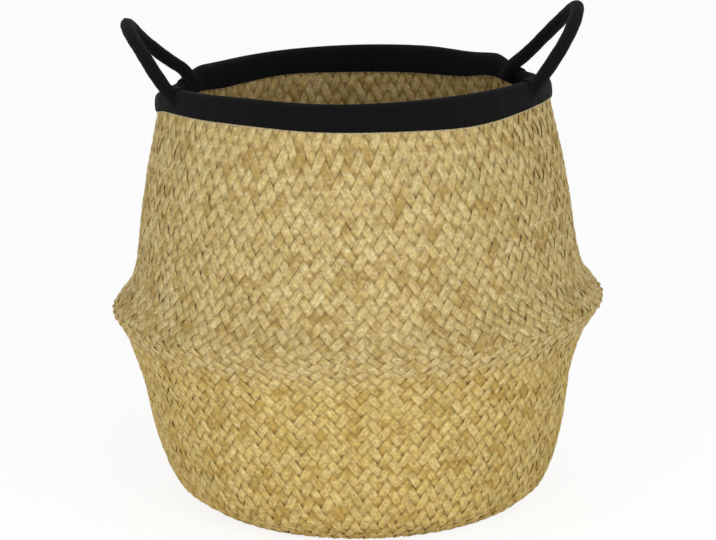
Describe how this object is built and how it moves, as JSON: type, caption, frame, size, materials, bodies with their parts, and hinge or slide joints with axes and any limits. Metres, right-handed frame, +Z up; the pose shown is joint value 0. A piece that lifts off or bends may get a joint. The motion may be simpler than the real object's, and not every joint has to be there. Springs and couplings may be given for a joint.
{
  "type": "belly basket",
  "caption": "Round woven seagrass basket with a belly ridge that folds down, a cloth-bound rim and rope handles that swing.",
  "frame": {"origin": "centre of the flat bottom, on the floor", "axes": "+Z up through the mouth; the handles stand at -X and +X; the front is at -Y"},
  "size_m": [0.3598, 0.3598, 0.3631],
  "materials": {
    "seagrass_lower": "dry plaited seagrass, golden, matte",
    "seagrass_upper": "dry plaited seagrass, greyer tan, matte",
    "black_cloth": "plain-woven black cotton, matte",
    "rope_core": "undyed cotton rope, matte",
    "pale_thread": "undyed cotton thread, matte"
  },
  "bodies": {
    "lower_basket": {"woven_base": "seagrass_lower", "lower_wall": "seagrass_lower"},
    "rim": {"upper_wall": "seagrass_upper", "rim_cord": "rope_core", "rim_binding": "black_cloth", "outer_stitch_line": "pale_thread", "inner_stitch_line": "pale_thread", "left_front_handle_end": "black_cloth", "left_back_handle_end": "black_cloth", "right_front_handle_end": "black_cloth", "right_back_handle_end": "black_cloth"},
    "left_handle": {"left_handle_cover": "black_cloth", "left_handle_core": "rope_core"},
    "right_handle": {"right_handle_cover": "black_cloth", "right_handle_core": "rope_core"}
  },
  "joints": [
    {"name": "rim_fold_down", "type": "slide", "parent": "lower_basket", "child": "rim", "axis": [0, 0, 1], "range_m": [-0.14, 0], "deforming": ["upper_wall"]},
    {"name": "left_handle_swing", "type": "hinge", "parent": "rim", "child": "left_handle", "pos_m": [-0.12967, 0, 0.31851], "axis": [0, 1, 0], "range_deg": [-42, 127], "stiffness_Nm_per_rad": 0.08},
    {"name": "right_handle_swing", "type": "hinge", "parent": "rim", "child": "right_handle", "pos_m": [0.12967, 0, 0.32295], "axis": [0, -1, 0], "range_deg": [-42, 127], "stiffness_Nm_per_rad": 0.08}
  ]
}
